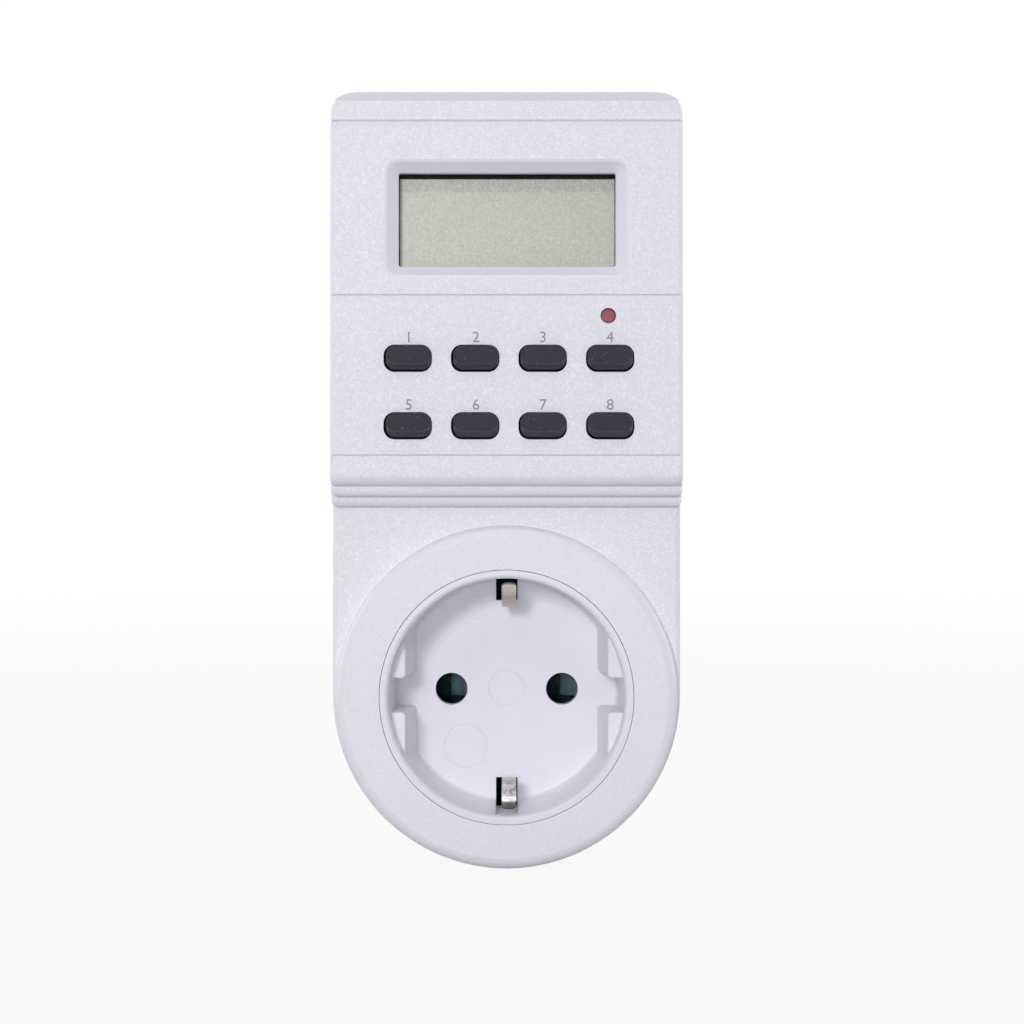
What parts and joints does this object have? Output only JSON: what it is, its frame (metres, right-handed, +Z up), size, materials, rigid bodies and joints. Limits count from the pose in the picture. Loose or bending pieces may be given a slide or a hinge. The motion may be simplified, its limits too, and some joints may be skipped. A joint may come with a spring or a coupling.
{
  "type": "digital plug-in timer",
  "caption": "Digital plug-in time switch with a display, push keys, an earthed socket in front and an earthed plug behind.",
  "frame": {"origin": "middle of the plug's pin face, on the common axis of plug and socket", "axes": "+X right as seen from the front, +Y out of the plug along its pins (the front faces -Y), +Z up"},
  "size_m": [0.0576, 0.0813, 0.1284],
  "materials": {
    "housing_plastic": "fine spark-eroded texture",
    "insert_plastic": "smooth moulded",
    "clear_window": "clear polished",
    "black_plastic": "fine matt",
    "lcd_glass": "greenish grey display",
    "zebra_rubber": "striped elastomer",
    "circuit_board": "green solder mask",
    "steel": "zinc plated",
    "black_epoxy": "cast epoxy",
    "key_rubber": "matt silicone",
    "carbon_pill": "conductive carbon",
    "red_plastic": "fine matt",
    "blue_case": "smooth moulded",
    "yellow_case": "smooth moulded",
    "can_sleeve": "shrink sleeve on an aluminium can",
    "battery_sleeve": "shrink sleeve",
    "resistor_body": "lacquered",
    "cable_grey": "soft PVC",
    "nickel_plate": "nickel on brass"
  },
  "bodies": {
    "housing": {"backup_battery": "battery_sleeve", "clock_crystal": "steel", "control_board": "circuit_board", "control_board_screws": "steel", "controller_blob": "black_epoxy", "display_window": "clear_window", "dropper_capacitor": "yellow_case", "earth_strap": "nickel_plate", "front_cover": "housing_plastic", "housing_screws": "steel", "keypad_mat": "key_rubber", "lcd_holder": "black_plastic", "lcd_panel": "lcd_glass", "live_clip": "nickel_plate", "live_pin": "nickel_plate", "neutral_clip": "nickel_plate", "neutral_pin": "nickel_plate", "power_board": "circuit_board", "power_board_screws": "steel", "rear_cover": "housing_plastic", "rectifier_diodes": "black_epoxy", "relay": "blue_case", "reset_switch_case": "black_plastic", "resistors": "resistor_body", "ribbon_cable": "cable_grey", "smoothing_capacitors": "can_sleeve", "socket_insert": "insert_plastic", "suppression_capacitor": "yellow_case", "varistor": "blue_case", "zebra_strips": "zebra_rubber"},
    "week_key_body": {"week_key": "key_rubber", "week_key_pill": "carbon_pill"},
    "hour_key_body": {"hour_key": "key_rubber", "hour_key_pill": "carbon_pill"},
    "minute_key_body": {"minute_key": "key_rubber", "minute_key_pill": "carbon_pill"},
    "recall_key_body": {"recall_key": "key_rubber", "recall_key_pill": "carbon_pill"},
    "clock_key_body": {"clock_key": "key_rubber", "clock_key_pill": "carbon_pill"},
    "timer_key_body": {"timer_key": "key_rubber", "timer_key_pill": "carbon_pill"},
    "mode_key_body": {"mode_key": "key_rubber", "mode_key_pill": "carbon_pill"},
    "random_key_body": {"random_key": "key_rubber", "random_key_pill": "carbon_pill"},
    "reset_button_body": {"reset_button": "red_plastic", "reset_switch_plunger": "black_plastic"}
  },
  "joints": [
    {"name": "week_key_press", "type": "slide", "parent": "housing", "child": "week_key_body", "axis": [0, 1, 0], "range_m": [0, 0.001], "stiffness_N_per_m": 800, "springref_m": -0.0005, "deforming": ["keypad_mat"]},
    {"name": "hour_key_press", "type": "slide", "parent": "housing", "child": "hour_key_body", "axis": [0, 1, 0], "range_m": [0, 0.001], "stiffness_N_per_m": 800, "springref_m": -0.0005, "deforming": ["keypad_mat"]},
    {"name": "minute_key_press", "type": "slide", "parent": "housing", "child": "minute_key_body", "axis": [0, 1, 0], "range_m": [0, 0.001], "stiffness_N_per_m": 800, "springref_m": -0.0005, "deforming": ["keypad_mat"]},
    {"name": "recall_key_press", "type": "slide", "parent": "housing", "child": "recall_key_body", "axis": [0, 1, 0], "range_m": [0, 0.001], "stiffness_N_per_m": 800, "springref_m": -0.0005, "deforming": ["keypad_mat"]},
    {"name": "clock_key_press", "type": "slide", "parent": "housing", "child": "clock_key_body", "axis": [0, 1, 0], "range_m": [0, 0.001], "stiffness_N_per_m": 800, "springref_m": -0.0005, "deforming": ["keypad_mat"]},
    {"name": "timer_key_press", "type": "slide", "parent": "housing", "child": "timer_key_body", "axis": [0, 1, 0], "range_m": [0, 0.001], "stiffness_N_per_m": 800, "springref_m": -0.0005, "deforming": ["keypad_mat"]},
    {"name": "mode_key_press", "type": "slide", "parent": "housing", "child": "mode_key_body", "axis": [0, 1, 0], "range_m": [0, 0.001], "stiffness_N_per_m": 800, "springref_m": -0.0005, "deforming": ["keypad_mat"]},
    {"name": "random_key_press", "type": "slide", "parent": "housing", "child": "random_key_body", "axis": [0, 1, 0], "range_m": [0, 0.001], "stiffness_N_per_m": 800, "springref_m": -0.0005, "deforming": ["keypad_mat"]},
    {"name": "reset_button_press", "type": "slide", "parent": "housing", "child": "reset_button_body", "axis": [0, 1, 0], "range_m": [0, 0.0005], "stiffness_N_per_m": 2000, "springref_m": -0.0004}
  ]
}
